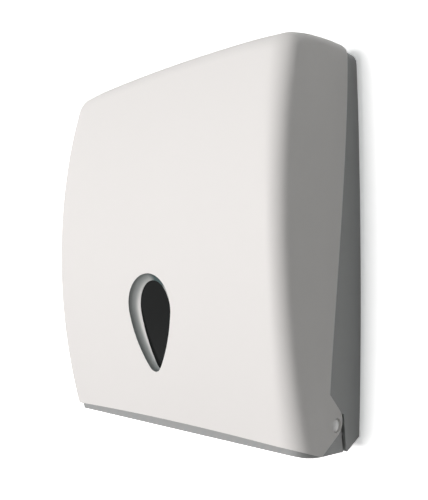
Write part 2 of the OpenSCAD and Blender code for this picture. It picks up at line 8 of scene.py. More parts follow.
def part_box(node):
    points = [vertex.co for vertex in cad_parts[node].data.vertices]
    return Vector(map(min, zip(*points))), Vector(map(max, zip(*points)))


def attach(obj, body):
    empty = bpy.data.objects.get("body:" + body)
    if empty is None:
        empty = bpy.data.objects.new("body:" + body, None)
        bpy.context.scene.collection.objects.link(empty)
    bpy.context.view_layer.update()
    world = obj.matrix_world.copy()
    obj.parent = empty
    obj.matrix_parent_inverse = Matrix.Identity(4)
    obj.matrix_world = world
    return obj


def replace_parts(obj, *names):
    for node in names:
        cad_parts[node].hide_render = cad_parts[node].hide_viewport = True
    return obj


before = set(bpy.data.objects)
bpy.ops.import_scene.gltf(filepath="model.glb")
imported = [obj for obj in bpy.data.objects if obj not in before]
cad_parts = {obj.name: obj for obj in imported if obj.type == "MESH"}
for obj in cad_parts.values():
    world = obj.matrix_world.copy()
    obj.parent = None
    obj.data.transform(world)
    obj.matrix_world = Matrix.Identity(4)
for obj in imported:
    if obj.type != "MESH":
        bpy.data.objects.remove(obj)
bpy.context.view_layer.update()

# Camera: it stands off to the right at a third of the dispenser's height and looks up a little,
# where the outline in the photograph puts it. Lengths are in millimetres, heights above the tray's
# underside, and row() takes such points to metres in the part's own frame.
MM = 0.001
IMAGE_W, IMAGE_H = 428, 500
SENSOR = 36
camera_at = (444.9, -455.4, 116.4)
camera_yaw, camera_pitch, camera_roll = 46.06, 3.79, 0.99
focal_px = 681.5
CLIP_NEAR, CLIP_FAR = 0.01, 50
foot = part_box("bottom_tray")[0].z


def row(points):
    """Metres in the part's frame: a thousandth of each length, raised from the tray's underside."""
    return np.asarray(points, float) * MM + (0, 0, foot)


camera = bpy.data.objects.new("camera", bpy.data.cameras.new("camera"))
bpy.context.scene.collection.objects.link(camera)
bpy.context.scene.camera = camera
camera.data.sensor_width = SENSOR
camera.data.lens = SENSOR * focal_px / max(IMAGE_W, IMAGE_H)
camera.data.clip_start, camera.data.clip_end = CLIP_NEAR, CLIP_FAR
turn = Matrix.Rotation(math.radians(camera_yaw), 4, "Z")
tilt = Matrix.Rotation(math.radians(90 + camera_pitch), 4, "X")
bank = Matrix.Rotation(math.radians(camera_roll), 4, "Z")
camera.matrix_world = Matrix.Translation(row(camera_at)) @ turn @ tilt @ bank

# Studio: a wide soft lamp far off in front and to the left, a little warm, weak cool light from all round,
# a pale floor at the height a wall dispenser hangs above it, and the white wall it hangs on. The wall has one
# side: from behind it is clear. World, floor and wall look white to the camera, but for the object's shadow.
bpy.context.scene.view_settings.view_transform = "Standard"
KEY_POWER, KEY_SIZE, KEY_AT = 113.5, 1.7, Vector((-0.5, -3.97, -0.2))
KEY_TINT, ROOM_TINT = (1.02, 1, 1.003), (0.945, 0.99, 0.98)
ROOM_LIGHT, WHITE, STAGE_WHITE, STAGE_TONE, WALL_BOUNCE, FLOOR_BOUNCE = 0.355, 1.1, 0.23, 1.95, 0.25, 0.4
FLOOR_Z, STAGE_HALF, WALL_Y, CLEAR_WITHIN = -1.2, 20, 0.002, 0.004


def share_of(tree, first, second):
    """The larger of two values."""
    larger = tree.nodes.new("ShaderNodeMath")
    larger.operation = "MAXIMUM"
    tree.links.new(first, larger.inputs[0])
    tree.links.new(second, larger.inputs[1])
    return larger.outputs[0]


def seen_share(tree, share):
    """A share where the camera, a mirror or glass looks, and 0 for light on its way round the room."""
    path = tree.nodes.new("ShaderNodeLightPath").outputs
    seen = share_of(tree, path["Is Camera Ray"], path["Is Glossy Ray"])
    seen = share_of(tree, seen, path["Is Transmission Ray"])
    part = tree.nodes.new("ShaderNodeMath")
    part.operation = "MULTIPLY"
    part.inputs[1].default_value = share
    tree.links.new(seen, part.inputs[0])
    return part.outputs[0]


def white_to_viewers(tree, kept, white, share):
    """The kept shader for lighting, and a share of the white one where a viewer looks."""
    mix = tree.nodes.new("ShaderNodeMixShader")
    tree.links.new(seen_share(tree, share), mix.inputs[0])
    tree.links.new(kept, mix.inputs[1])
    tree.links.new(white.outputs[0], mix.inputs[2])
    white.inputs["Color"].default_value = (1, 1, 1, 1)
    white.inputs["Strength"].default_value = WHITE
    out = next(n for n in tree.nodes if n.type in ("OUTPUT_WORLD", "OUTPUT_MATERIAL"))
    tree.links.new(mix.outputs[0], out.inputs["Surface"])


def stage_plane(name, corners, bounce, one_sided):
    """A plane that looks nearly white, keeps shadows and throws back a share of the light that falls on it.
    A one-sided plane is clear from behind, and to rays that start close by, so that light reaches the back
    of what stands against it."""
    mesh = bpy.data.meshes.new(name)
    mesh.from_pydata(corners, [], [(0, 1, 2, 3)])
    plane = bpy.data.objects.new(name, mesh)
    bpy.context.scene.collection.objects.link(plane)
    pale = bpy.data.materials.new("pale_" + name)
    pale.use_nodes = True
    tree = pale.node_tree
    skin = tree.nodes["Principled BSDF"]
    tone = tree.nodes.new("ShaderNodeMapRange")
    tone.inputs["To Min"].default_value = bounce
    tone.inputs["To Max"].default_value = STAGE_TONE
    tree.links.new(seen_share(tree, 1), tone.inputs["Value"])
    tree.links.new(tone.outputs["Result"], skin.inputs["Base Color"])
    skin.inputs["Roughness"].default_value = 1
    skin.inputs["Specular IOR Level"].default_value = 0
    white_to_viewers(tree, skin.outputs[0], tree.nodes.new("ShaderNodeEmission"), STAGE_WHITE)
    if one_sided:
        out = tree.nodes["Material Output"].inputs["Surface"]
        near = tree.nodes.new("ShaderNodeMath")
        near.operation = "LESS_THAN"
        near.inputs[1].default_value = CLEAR_WITHIN
        tree.links.new(tree.nodes.new("ShaderNodeLightPath").outputs["Ray Length"], near.inputs[0])
        behind = tree.nodes.new("ShaderNodeNewGeometry").outputs["Backfacing"]
        side = tree.nodes.new("ShaderNodeMixShader")
        tree.links.new(share_of(tree, behind, near.outputs[0]), side.inputs[0])
        tree.links.new(out.links[0].from_socket, side.inputs[1])
        tree.links.new(tree.nodes.new("ShaderNodeBsdfTransparent").outputs[0], side.inputs[2])
        tree.links.new(side.outputs[0], out)
    mesh.materials.append(pale)


world = bpy.data.worlds.new("studio")
bpy.context.scene.world = world
world.use_nodes = True
air = world.node_tree.nodes["Background"]
air.inputs["Color"].default_value = (*ROOM_TINT, 1)
air.inputs["Strength"].default_value = ROOM_LIGHT
white_to_viewers(world.node_tree, air.outputs[0], world.node_tree.nodes.new("ShaderNodeBackground"), 1)

key = bpy.data.objects.new("key_lamp", bpy.data.lights.new("key_lamp", "AREA"))
bpy.context.scene.collection.objects.link(key)
key.data.size = KEY_SIZE
key.data.energy = KEY_POWER
key.data.color = KEY_TINT
key.location = KEY_AT
key.rotation_euler = (-KEY_AT).to_track_quat("-Z", "Y").to_euler()

half = STAGE_HALF
floor_corners = [(x, y, FLOOR_Z) for x, y in ((-half, -half), (half, -half), (half, half), (-half, half))]
wall_corners = [(x, WALL_Y, z) for x, z in ((-half, FLOOR_Z), (half, FLOOR_Z), (half, half), (-half, half))]
stage_plane("floor", floor_corners, FLOOR_BOUNCE, False)
stage_plane("wall", wall_corners, WALL_BOUNCE, True)

# Front cover: one shell moulded in white ABS, 2.6 mm thick. Its front is bowed upright, its long edges
# turn into the sides with a wide round, and at the foot of each side an ear turns on a hinge pin.
cover_low, cover_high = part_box("front_cover")
half_w = cover_high.x / MM
crown_z = 312
body_d = -cover_low.y / MM
cover_t, cover_edge = 2.6, 0.5
front_r, front_full_z = 590, 177
edge_r, edge_grow, crown_r, corner_r = 14, 3, 16, 13
side_full_z, side_bow, crown_rise, top_slope = 100, 5.5, 5, 7.4
hem_z, hem_tilt, hem_arch = 10, 16.8, 2
rear_top, notch = np.array([-17, 310.4]), np.array([-43, 45])
rear_low_lean, rear_top_lean = np.array([3.5, 68]), np.array([-2, -70])
ear_c, ear_r, ear_tip_y = np.array([-39.5, 24.3]), 12.2, -51.5
hinge, pin_pocket_r = np.array([-34, 21.8]), 5.35
lock_at, lock_bore_r, lock_field = np.array([0, -50.4]), 8.15, 24
side_rise = crown_z - side_full_z
side_r = (side_rise ** 2 + side_bow ** 2) / (2 * side_bow)
top_r = (half_w ** 2 + crown_rise ** 2) / (2 * crown_rise)
side_c = np.array([half_w - side_r, side_full_z])
top_c = np.array([0, crown_z - top_r])
LIFT_FROM, LIFT_FULL = 150, 290
swell, swell_d, swell_to_front, swell_to_wall = 1.9, 50, 11, 5.5
SWELL_X, SWELL_Z = (95, 142), (245, 305)


def bow(z):
    """Depth of the front at a height: an arc of front_r about a level axis behind the wall."""
    return front_r - body_d - np.sqrt(front_r ** 2 - (z - front_full_z) ** 2)


def bow_slope(z):
    """Rise of that depth with height."""
    return (z - front_full_z) / np.sqrt(front_r ** 2 - (z - front_full_z) ** 2)


def side_x(z, inset=0):
    """Half width at a height: the flat arc of the sides, drawn in by the inset."""
    return side_c[0] + np.sqrt((side_r - inset) ** 2 - (z - side_c[1]) ** 2)


def top_z(x, inset=0):
    """Height of the arched top at a distance from the middle, lowered by the inset."""
    return top_c[1] + np.sqrt((top_r - inset) ** 2 - x ** 2)


def edge_at(z):
    """Rounding of the upright front edges at a height: tightest in the middle, wider to both ends."""
    return edge_r + edge_grow * (2 * z / crown_z - 1) ** 2


def eased(value, low, high):
    """A share that goes from 0 at low to 1 at high, level at both: 3 s squared less 2 s cubed."""
    share = np.clip((value - low) / (high - low), 0, 1)
    return share ** 2 * (3 - 2 * share)


def lifted(points):
    """Raises the upper part towards the wall: height grows by the tangent of the top's slope times the
    distance behind the fullest front, times a share that eases from 0 at half height to 1 near the top."""
    share = eased(points[..., 2], LIFT_FROM, LIFT_FULL)
    rise = share * math.tan(math.radians(top_slope)) * (points[..., 1] + body_d)
    return points + rise[..., None] * np.array([0, 0, 1])


def swelled(points):
    """Arches the top's two outer corners from front to back: the height gains a swell at one depth, less a
    fall that grows with the square of the distance from it, all eased in towards the sides and the top."""
    away = (points[..., 1] + body_d - swell_d) / swell_d
    arch = swell - np.where(away < 0, swell_to_front, swell_to_wall) * away ** 2
    arch = arch * eased(np.abs(points[..., 0]), *SWELL_X) * eased(points[..., 2], *SWELL_Z)
    return points + arch[..., None] * np.array([0, 0, 1])


def corner_arc(side_in, top_in, r, count):
    """Points of the arc of radius r that touches the inset side and the inset top from within, from
    the side up. Its middle lies r inside both: where circles of those two radii, less r, cross."""
    near_side, near_top = side_r - side_in - r, top_r - top_in - r
    gap = np.linalg.norm(side_c - top_c)
    toward = (side_c - top_c) / gap
    along = (near_top ** 2 - near_side ** 2 + gap ** 2) / (2 * gap)
    off = math.sqrt(near_top ** 2 - along ** 2)
    middle = top_c + along * toward + off * np.array([toward[1], -toward[0]])
    start = math.atan2(*(middle - side_c)[::-1])
    end = math.atan2(*(middle - top_c)[::-1])
    angle = np.linspace(start, end, count)
    return middle + r * np.stack([np.cos(angle), np.sin(angle)], -1)


def rolled_edge(outer, inner, count):
    """Arcs from the wall at outer to the front at inner, both (x, z). In the plane through the two, an
    arc leaves the wall straight forward and touches the front: with t their distance and lean the
    front's slope that way, its radius is t / (1 + sin lean) and it turns through 90 degrees + lean."""
    across = inner - outer
    t = np.linalg.norm(across, axis=-1, keepdims=True)
    across = across / t
    lean = np.arctan(bow_slope(inner[..., 1:]) * across[..., 1:])
    r = t / (1 + np.sin(lean))
    angle = np.linspace(0, 1, count) * (math.pi / 2 + lean)
    flat = outer[..., None, :] + (r * (1 - np.cos(angle)))[..., None] * across[..., None, :]
    depth = bow(inner[..., 1:]) + r * np.cos(lean) - r * np.sin(angle)
    return np.stack([flat[..., 0], depth, flat[..., 1]], -1)


def between(first, last, count):
    """Straight runs of count points from each first point to its last point."""
    share = np.linspace(0, 1, count)[:, None]
    return first[..., None, :] * (1 - share) + last[..., None, :] * share


def on_side(yz):
    """Points of the right side wall at (depth, height)."""
    return np.stack([side_x(yz[..., 1]), yz[..., 0], yz[..., 1]], -1)


def on_top(xy):
    """Points of the top wall at (x, depth)."""
    return np.stack([xy[..., 0], xy[..., 1], top_z(xy[..., 0])], -1)


def ring_to_hole(loop, middle, radius, count):
    """Rays from a closed loop in to a round hole: each point runs straight at the hole's middle."""
    away = loop - middle
    rim = middle + radius * away / np.linalg.norm(away, axis=-1, keepdims=True)
    return between(loop, rim, count)


def mirrored(patch):
    """The same patch on the left."""
    return patch * (-1, 1, 1)


def weld(name, patches, join=2e-6):
    """One mesh from grids of points: each grid's neighbours make a face, points that grids share are
    joined, faces that close up to nothing go, and the skin is turned to face away from its middle."""
    verts, faces, start = [], [], 0
    for patch in patches:
        rows, cols = patch.shape[:2]
        index = start + np.arange(rows * cols).reshape(rows, cols)
        quads = np.stack([index[:-1, :-1], index[1:, :-1], index[1:, 1:], index[:-1, 1:]], -1)
        verts.append(row(patch.reshape(-1, 3)))
        faces.append(quads.reshape(-1, 4))
        start += rows * cols
    mesh = bpy.data.meshes.new(name)
    mesh.from_pydata(np.concatenate(verts).tolist(), [], np.concatenate(faces).tolist())
    made = bmesh.new()
    made.from_mesh(mesh)
    bmesh.ops.remove_doubles(made, verts=made.verts, dist=join)
    bmesh.ops.dissolve_degenerate(made, edges=made.edges, dist=join / 4)
    bmesh.ops.recalc_face_normals(made, faces=made.faces)
    centre = sum((v.co for v in made.verts), Vector()) / len(made.verts)
    if sum((f.calc_center_median() - centre).dot(f.normal) * f.calc_area() for f in made.faces) < 0:
        bmesh.ops.reverse_faces(made, faces=made.faces)
    made.to_mesh(mesh)
    made.free()
    mesh.shade_smooth()
    piece = bpy.data.objects.new(name, mesh)
    bpy.context.scene.collection.objects.link(piece)
    return piece


BEVEL_STEPS = 3


def wall(piece, thickness, edge):
    """Gives a skin its wall, inwards, and rounds the edges that this makes."""
    solid = piece.modifiers.new("wall", "SOLIDIFY")
    solid.thickness = thickness * MM
    solid.offset = -1
    solid.use_even_offset = True
    solid.use_quality_normals = True
    rounded(piece, edge)


def rounded(piece, edge, angle=40):
    """Rounds every edge that turns by more than the angle."""
    bevel = piece.modifiers.new("edges", "BEVEL")
    bevel.width = edge * MM
    bevel.segments = BEVEL_STEPS
    bevel.limit_method = "ANGLE"
    bevel.angle_limit = math.radians(angle)
    bevel.harden_normals = True


def hem_at(y):
    """Height of the lower edge at a depth: it falls towards the wall from the front."""
    return hem_z - (y - bow(hem_z)) * math.tan(math.radians(hem_tilt))


def curve(p0, p1, p2, p3, count):
    """A cubic curve with those four control points."""
    t = np.linspace(0, 1, count)[:, None]
    return (1 - t) ** 3 * p0 + 3 * (1 - t) ** 2 * t * p1 + 3 * (1 - t) * t ** 2 * p2 + t ** 3 * p3


REAR_STEPS, REAR_ROUNDS = 200, 6
rear_curve = curve(notch, notch + rear_low_lean, rear_top + rear_top_lean, rear_top, REAR_STEPS)


def rear_y(z):
    """Depth of the rear edge at a height before the lift, along its curve and straight on above it. The lift
    depends on the depth, so the depth is worked out again a few times."""
    y = np.interp(z, rear_curve[:, 1], rear_curve[:, 0])
    for _ in range(REAR_ROUNDS):
        y = np.interp(lifted(np.stack([0 * y, y, z], -1))[..., 2], rear_curve[:, 1], rear_curve[:, 0])
    return y


# The inner corner, where the front's flat begins, starts at the height where the outer corner does.
crown_lean = math.asin((crown_z - crown_r - front_full_z) / (front_r - crown_r))
crown_in = crown_r * (1 - math.sin(crown_lean))
CORNER_STEPS, ARC_STEPS, TOP_STEPS, WALL_STEPS = 14, 15, 26, 14
outer_corner = corner_arc(0, 0, corner_r, CORNER_STEPS)
HALVINGS = 40
inner_r_low, inner_r_high = 0.5, corner_r
for _ in range(HALVINGS):
    inner_r = (inner_r_low + inner_r_high) / 2
    too_low = corner_arc(edge_at(outer_corner[0, 1]), crown_in, inner_r, 2)[0, 1] < outer_corner[0, 1]
    inner_r_low, inner_r_high = (inner_r_low, inner_r) if too_low else (inner_r, inner_r_high)
inner_corner = corner_arc(edge_at(outer_corner[0, 1]), crown_in, inner_r, CORNER_STEPS)
corner_roll = rolled_edge(outer_corner, inner_corner, ARC_STEPS)

# The top runs from the corner to the field around the lock, and on to the middle.
top_x = np.concatenate([np.linspace(outer_corner[-1, 0], lock_field, TOP_STEPS),
                        np.linspace(lock_field, 0, TOP_STEPS // 2)[1:]])
top_outer = np.stack([top_x, top_z(top_x)], -1)
inner_x = top_x * inner_corner[-1, 0] / outer_corner[-1, 0]
top_inner = np.stack([inner_x, top_z(inner_x, crown_in)], -1)
top_roll = rolled_edge(top_outer, top_inner, ARC_STEPS)

# Each side runs from the lower edge past the notch to the corner.
roll = np.linspace(0, math.pi / 2, ARC_STEPS)
FOOT_ROUNDS = 5
foot_z = np.full(ARC_STEPS, float(hem_z))
for _ in range(FOOT_ROUNDS):
    foot_z = hem_at(bow(foot_z) + edge_at(foot_z) * (1 - np.sin(roll)))
notch_share = (notch[1] - foot_z[0]) / (outer_corner[0, 1] - foot_z[0])
EAR_ROWS, SIDE_ROWS = 12, 50
rise = np.concatenate([np.linspace(0, notch_share, EAR_ROWS), np.linspace(notch_share, 1, SIDE_ROWS)[1:]])
side_z = foot_z + rise[:, None] * (outer_corner[0, 1] - foot_z)
side_roll = np.stack([side_x(side_z) - edge_at(side_z) * (1 - np.cos(roll)),
                      bow(side_z) + edge_at(side_z) * (1 - np.sin(roll)), side_z], -1)
side_roll[-1] = corner_roll[0]

# Walls behind the round: the side above the notch, the corner, and the top beside the lock.
side_front = side_roll[:, 0, 1:]
upper_front = side_front[EAR_ROWS - 1:]
upper_rear = np.stack([rear_y(upper_front[:, 1]), upper_front[:, 1]], -1)
upper_rear[0] = notch
upper_wall = on_side(between(upper_front, upper_rear, WALL_STEPS))
behind = np.concatenate([corner_roll[:, 0], top_roll[1:TOP_STEPS, 0]])
behind_rear = behind.copy()
behind_rear[:, 1] = rear_y(behind[:, 2])
behind_rear[0] = upper_wall[-1, -1]
corner_wall = between(behind, behind_rear, WALL_STEPS)
corner_wall[0] = upper_wall[-1]

# The field around the lock's hole, and the ear around the pin's hole: rays from a closed loop.
LOCK_STEPS, EAR_STEPS, EAR_ARC_STEPS, EAR_EDGE_STEPS, EAR_HEM_STEPS = 10, 12, 40, 10, 8
field_front = top_roll[TOP_STEPS - 1:, 0, :2]
field_front = np.concatenate([field_front, field_front[-2::-1] * (-1, 1)])
field_side = corner_wall[-1, :, :2]
field_rear = np.stack([-field_front[:, 0], np.full(len(field_front), field_side[-1, 1])], -1)
field_loop = np.concatenate([field_front, field_side[1:] * (-1, 1), field_rear[1:], field_side[-2::-1]])
lock_patch = on_top(ring_to_hole(field_loop, lock_at, lock_bore_r, LOCK_STEPS))

ear_tip = np.array([ear_tip_y, hem_at(ear_tip_y)])


def touch_angle(point, side):
    """Direction from the ear's middle to where a line from the point touches its round."""
    toward = point - ear_c
    return math.atan2(toward[1], toward[0]) + side * math.acos(ear_r / np.linalg.norm(toward))


turn_from, turn_to = touch_angle(ear_tip, 1), touch_angle(notch, -1)
turn_to += 2 * math.pi if turn_to < turn_from else 0
ear_angle = np.linspace(turn_from, turn_to, EAR_ARC_STEPS)
ear_round = ear_c + ear_r * np.stack([np.cos(ear_angle), np.sin(ear_angle)], -1)
ear_loop = np.concatenate([
    side_front[EAR_ROWS - 1::-1], between(side_front[0], ear_tip, EAR_HEM_STEPS)[1:],
    between(ear_tip, ear_round[0], EAR_EDGE_STEPS)[1:], ear_round[1:],
    between(ear_round[-1], notch, EAR_EDGE_STEPS)[1:], upper_wall[0, -2::-1, 1:]])
ear_patch = on_side(ring_to_hole(ear_loop, hinge, pin_pocket_r, EAR_STEPS))

# Front: rays from its edge to the drop-shaped window, all lying on the bow.
drop_z, drop_r, drop_len, tip_r, drop_side_r = 106, 27.5, 45.5, 8.5, 105
DROP_ARC_STEPS, HEM_STEPS, FRONT_STEPS = 100, 90, 26
drop_c, tip_c = np.array([0, drop_z]), np.array([0, drop_z - drop_len])
long_r = drop_side_r - tip_r
bow_rise = (long_r ** 2 - (drop_side_r - drop_r) ** 2 + drop_len ** 2) / (2 * drop_len)
bow_c = tip_c + (-math.sqrt(long_r ** 2 - bow_rise ** 2), bow_rise)
window_z = (drop_z + drop_r + drop_z - drop_len - tip_r) / 2


def drop(inset):
    """Closed outline of the window: a small arc at the tip, a long flat arc up each side and a round
    top, touching each other, drawn in by the inset. It starts at the tip and goes round by the right."""
    tip_turn = math.atan2(*(tip_c - bow_c)[::-1])
    top_turn = math.atan2(*(drop_c - bow_c)[::-1])
    parts = ((tip_c, tip_r, -math.pi / 2, tip_turn), (bow_c, drop_side_r, tip_turn, top_turn),
             (drop_c, drop_r, top_turn, math.pi / 2))
    right = []
    for middle, r, start, end in parts:
        angle = np.linspace(start, end, DROP_ARC_STEPS + 1)
        right.append((middle + (r - inset) * np.stack([np.cos(angle), np.sin(angle)], -1))[:-1])
    right = np.concatenate([*right, [drop_c + (0, drop_r - inset)]])
    return np.concatenate([right, right[-2::-1] * (-1, 1)])


def on_front(xz):
    """Points of the bowed front at (x, height)."""
    return np.stack([xz[..., 0], bow(xz[..., 1]), xz[..., 1]], -1)


def drop_at(angle, inset):
    """The window's outline in given directions from its middle."""
    line = drop(inset)
    seen = np.arctan2(line[:, 1] - window_z, line[:, 0])
    reach = np.hypot(line[:, 0], line[:, 1] - window_z)
    order = np.argsort(seen)
    far = np.interp(angle, seen[order], reach[order], period=2 * math.pi)
    return np.stack([far * np.cos(angle), window_z + far * np.sin(angle)], -1)


flat_side = side_roll[:, -1, ::2]
flat_right = np.concatenate([flat_side, corner_roll[1:, -1, ::2], top_roll[1:, -1, ::2]])
hem_x = np.linspace(-flat_side[0, 0], flat_side[0, 0], HEM_STEPS)
hem_line = np.stack([hem_x, flat_side[0, 1] + hem_arch * (1 - (hem_x / flat_side[0, 0]) ** 2)], -1)
front_loop = np.concatenate([flat_right, flat_right[-2::-1] * (-1, 1), hem_line[1:]])
front_angle = np.arctan2(front_loop[:, 1] - window_z, front_loop[:, 0])
front_patch = on_front(between(front_loop, drop_at(front_angle, 0), FRONT_STEPS))

# The window's funnel: from the drop's rim it drops back steeply, then flattens towards a narrower drop, a
# little lower, in the plane of the lens.
dish_depth, dish_taper, dish_drop, DISH_STEPS = 7, 8, 1.6, 10
dish_rim = front_patch[:, -1]
dish_narrow = (drop_r - dish_taper) / (drop_r - dish_taper / 2)
dish_floor = drop_at(front_angle, dish_taper / 2) * (dish_narrow, 1) - (0, dish_drop)
dish_y = bow(window_z) + (dish_floor[:, 1] - window_z) * bow_slope(window_z) + dish_depth
dish_floor = np.stack([dish_floor[:, 0], dish_y, dish_floor[:, 1]], -1)
dish_turn = np.linspace(0, math.pi / 2, DISH_STEPS)[:, None]
dish_in = (1 - np.cos(dish_turn)) * (1, 0, 1) + np.sin(dish_turn) * (0, 1, 0)
dish_patch = dish_rim[:, None] + dish_in * (dish_floor - dish_rim)[:, None]

right_half = [side_roll, corner_roll, top_roll, upper_wall, corner_wall, ear_patch]
cover_patches = [p for h in right_half for p in (h, mirrored(h))] + [lock_patch, front_patch, dish_patch]


def new_group(name, sockets):
    """An empty shader node group with named inputs and outputs: colours, values and a normal."""
    tree = bpy.data.node_groups.new(name, "ShaderNodeTree")
    for label, way, kind in sockets:
        tree.interface.new_socket(label, in_out=way, socket_type="NodeSocket" + kind)
    return tree, tree.nodes.new("NodeGroupInput").outputs, tree.nodes.new("NodeGroupOutput").inputs


def speckle(tree, scale, low, high, detail=2, stretch=(1, 1, 1)):
    """Smooth noise fixed to the piece, from low to high, finer with scale and drawn out by stretch."""
    place = tree.nodes.new("ShaderNodeMapping")
    place.inputs["Scale"].default_value = stretch
    tree.links.new(tree.nodes.new("ShaderNodeTexCoord").outputs["Object"], place.inputs["Vector"])
    noise = tree.nodes.new("ShaderNodeTexNoise")
    noise.inputs["Scale"].default_value = scale
    noise.inputs["Detail"].default_value = detail
    tree.links.new(place.outputs["Vector"], noise.inputs["Vector"])
    spread = tree.nodes.new("ShaderNodeMapRange")
    spread.inputs["To Min"].default_value = low
    spread.inputs["To Max"].default_value = high
    tree.links.new(noise.outputs[0], spread.inputs["Value"])
    return spread.outputs["Result"]


def scaled(tree, kind, value, factor):
    """A colour or a value times a factor."""
    by = tree.nodes.new("ShaderNodeVectorMath" if kind == "Color" else "ShaderNodeMath")
    by.operation = "SCALE" if kind == "Color" else "MULTIPLY"
    tree.links.new(value, by.inputs[0])
    tree.links.new(factor, by.inputs["Scale"] if kind == "Color" else by.inputs[1])
    return by.outputs[0]


def skin_group(name, drift, drift_scale, wear, wear_scale, grain_scale, grain_depth, stretch=(1, 1, 1)):
    """Surface of one process: its colour drifts a little, its roughness is uneven, and a fine grain
    bends its normal. Colour and roughness come in and go out; the grain's strength comes in."""
    sockets = [("Colour", "INPUT", "Color"), ("Roughness", "INPUT", "Float"), ("Grain", "INPUT", "Float"),
               ("Colour", "OUTPUT", "Color"), ("Roughness", "OUTPUT", "Float"),
               ("Normal", "OUTPUT", "Vector")]
    tree, given, made = new_group(name, sockets)
    tone = speckle(tree, drift_scale, 1 - drift, 1 + drift)
    tree.links.new(scaled(tree, "Color", given["Colour"], tone), made["Colour"])
    uneven = speckle(tree, wear_scale, 1 - wear, 1 + wear, detail=4, stretch=stretch)
    tree.links.new(scaled(tree, "Float", given["Roughness"], uneven), made["Roughness"])
    bump = tree.nodes.new("ShaderNodeBump")
    bump.inputs["Distance"].default_value = grain_depth
    tree.links.new(given["Grain"], bump.inputs["Strength"])
    grain = speckle(tree, grain_scale, 0, 1, detail=3, stretch=stretch)
    tree.links.new(grain, bump.inputs["Height"])
    tree.links.new(bump.outputs["Normal"], made["Normal"])
    return tree


def finish(name, group, colour, roughness, grain, **constants):
    """A material with the surface of one process, and further constants by the shader's socket names."""
    material = bpy.data.materials.new(name)
    material.use_nodes = True
    tree = material.node_tree
    shader = tree.nodes["Principled BSDF"]
    surface = tree.nodes.new("ShaderNodeGroup")
    surface.node_tree = group
    surface.inputs["Colour"].default_value = (*colour, 1)
    surface.inputs["Roughness"].default_value = roughness
    surface.inputs["Grain"].default_value = grain
    tree.links.new(surface.outputs["Colour"], shader.inputs["Base Color"])
    tree.links.new(surface.outputs["Roughness"], shader.inputs["Roughness"])
    tree.links.new(surface.outputs["Normal"], shader.inputs["Normal"])
    for socket, value in constants.items():
        shader.inputs[socket.replace("_", " ")].default_value = value
    return material


def fit_out(piece, body, material):
    """A made piece's body, slot and material."""
    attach(piece, body)
    piece.data.materials.append(material)
    return piece


moulded = skin_group("moulded_skin", drift=0.012, drift_scale=6, wear=0.12, wear_scale=60,
                     grain_scale=1400, grain_depth=5e-5)
cover_white = finish("cover_white", moulded, (0.83, 0.805, 0.785),
                     roughness=0.55, grain=0.25, Specular_IOR_Level=0.35)

# Painted shade in the funnel: its colour is mixed towards a dark cool tint where shade falls in the recess,
# most at its rim, right of its top and at its tip. The painted shade is an attribute of the mesh, 0 outside
# the funnel. Fades are shares of the way in, or degrees around.
PAINTED_SHADE_RIM, PAINTED_SHADE_FLOOR, PAINTED_SHADE_TOP, PAINTED_SHADE_TIP = 0.66, 0.22, 0.95, 0.72
PAINTED_SHADE_TINT = (0, 0.034, 0.037, 1)
RIM_TO_FLOOR = (0.3, 0.8)
TOP_WAY, TOP_FADE, TIP_WAY, TIP_FADE = 78, (6, 20), -90, (6, 14)
DISH_REACH, SUNK_LEAST, FLOOR_THINNED = 50, 1e-4, 0.5
tree = cover_white.node_tree
shade = tree.nodes.new("ShaderNodeAttribute")
shade.attribute_name = "painted_shade"
darker = tree.nodes.new("ShaderNodeMix")
darker.data_type = "RGBA"
plain, tint = (socket for socket in darker.inputs if socket.type == "RGBA")
mixed = next(socket for socket in darker.outputs if socket.type == "RGBA")
tint.default_value = PAINTED_SHADE_TINT
base = tree.nodes["Principled BSDF"].inputs["Base Color"]
tree.links.new(shade.outputs["Fac"], darker.inputs["Factor"])
tree.links.new(base.links[0].from_socket, plain)
tree.links.new(mixed, base)
cover_skin = weld("front_cover_shell", [swelled(lifted(p)) for p in cover_patches])
cover = fit_out(cover_skin, "cover", cover_white)
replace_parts(cover, "front_cover")
places = np.empty(len(cover.data.vertices) * 3)
cover.data.vertices.foreach_get("co", places)
places = (places.reshape(-1, 3) - row((0, 0, 0))) / MM
near_dish = (np.abs(places[:, 2] - window_z) < DISH_REACH) & (np.abs(places[:, 0]) < drop_r + 1)
sunk = np.where(near_dish, np.clip((places[:, 1] - bow(places[:, 2])) / dish_depth, 0, 1), 0)
corner_vert = np.empty(len(cover.data.loops), int)
cover.data.loops.foreach_get("vertex_index", corner_vert)
face_size = np.empty(len(cover.data.polygons), int)
cover.data.polygons.foreach_get("loop_total", face_size)
face_of = np.repeat(np.arange(len(face_size)), face_size)
in_dish = (np.bincount(face_of, sunk[corner_vert]) > SUNK_LEAST)[face_of]
# Painted shade per face corner: darkest at the funnel's rim, lighter towards its floor, darker again right of
# its top and at its tip.
painted_shade = cover.data.attributes.new("painted_shade", "FLOAT", "CORNER")
inward = 1 - np.sqrt(1 - sunk ** 2)
tones = PAINTED_SHADE_RIM + (PAINTED_SHADE_FLOOR - PAINTED_SHADE_RIM) * eased(inward, *RIM_TO_FLOOR)
around = np.degrees(np.arctan2(places[:, 2] - window_z, places[:, 0]))
for tone, way, fade in ((PAINTED_SHADE_TOP, TOP_WAY, TOP_FADE), (PAINTED_SHADE_TIP, TIP_WAY, TIP_FADE)):
    tones = tones + (tone - tones) * (1 - eased(np.abs(around - way), *fade))
painted_shade.data.foreach_set("value", np.where(in_dish, tones[corner_vert], 0))
wall(cover, cover_t, cover_edge)
thick = cover.vertex_groups.new(name="thick")
thickness = 1 - FLOOR_THINNED * sunk
for share in np.unique(thickness):
    thick.add(np.flatnonzero(thickness == share).tolist(), share, "REPLACE")
cover.modifiers["wall"].vertex_group = "thick"

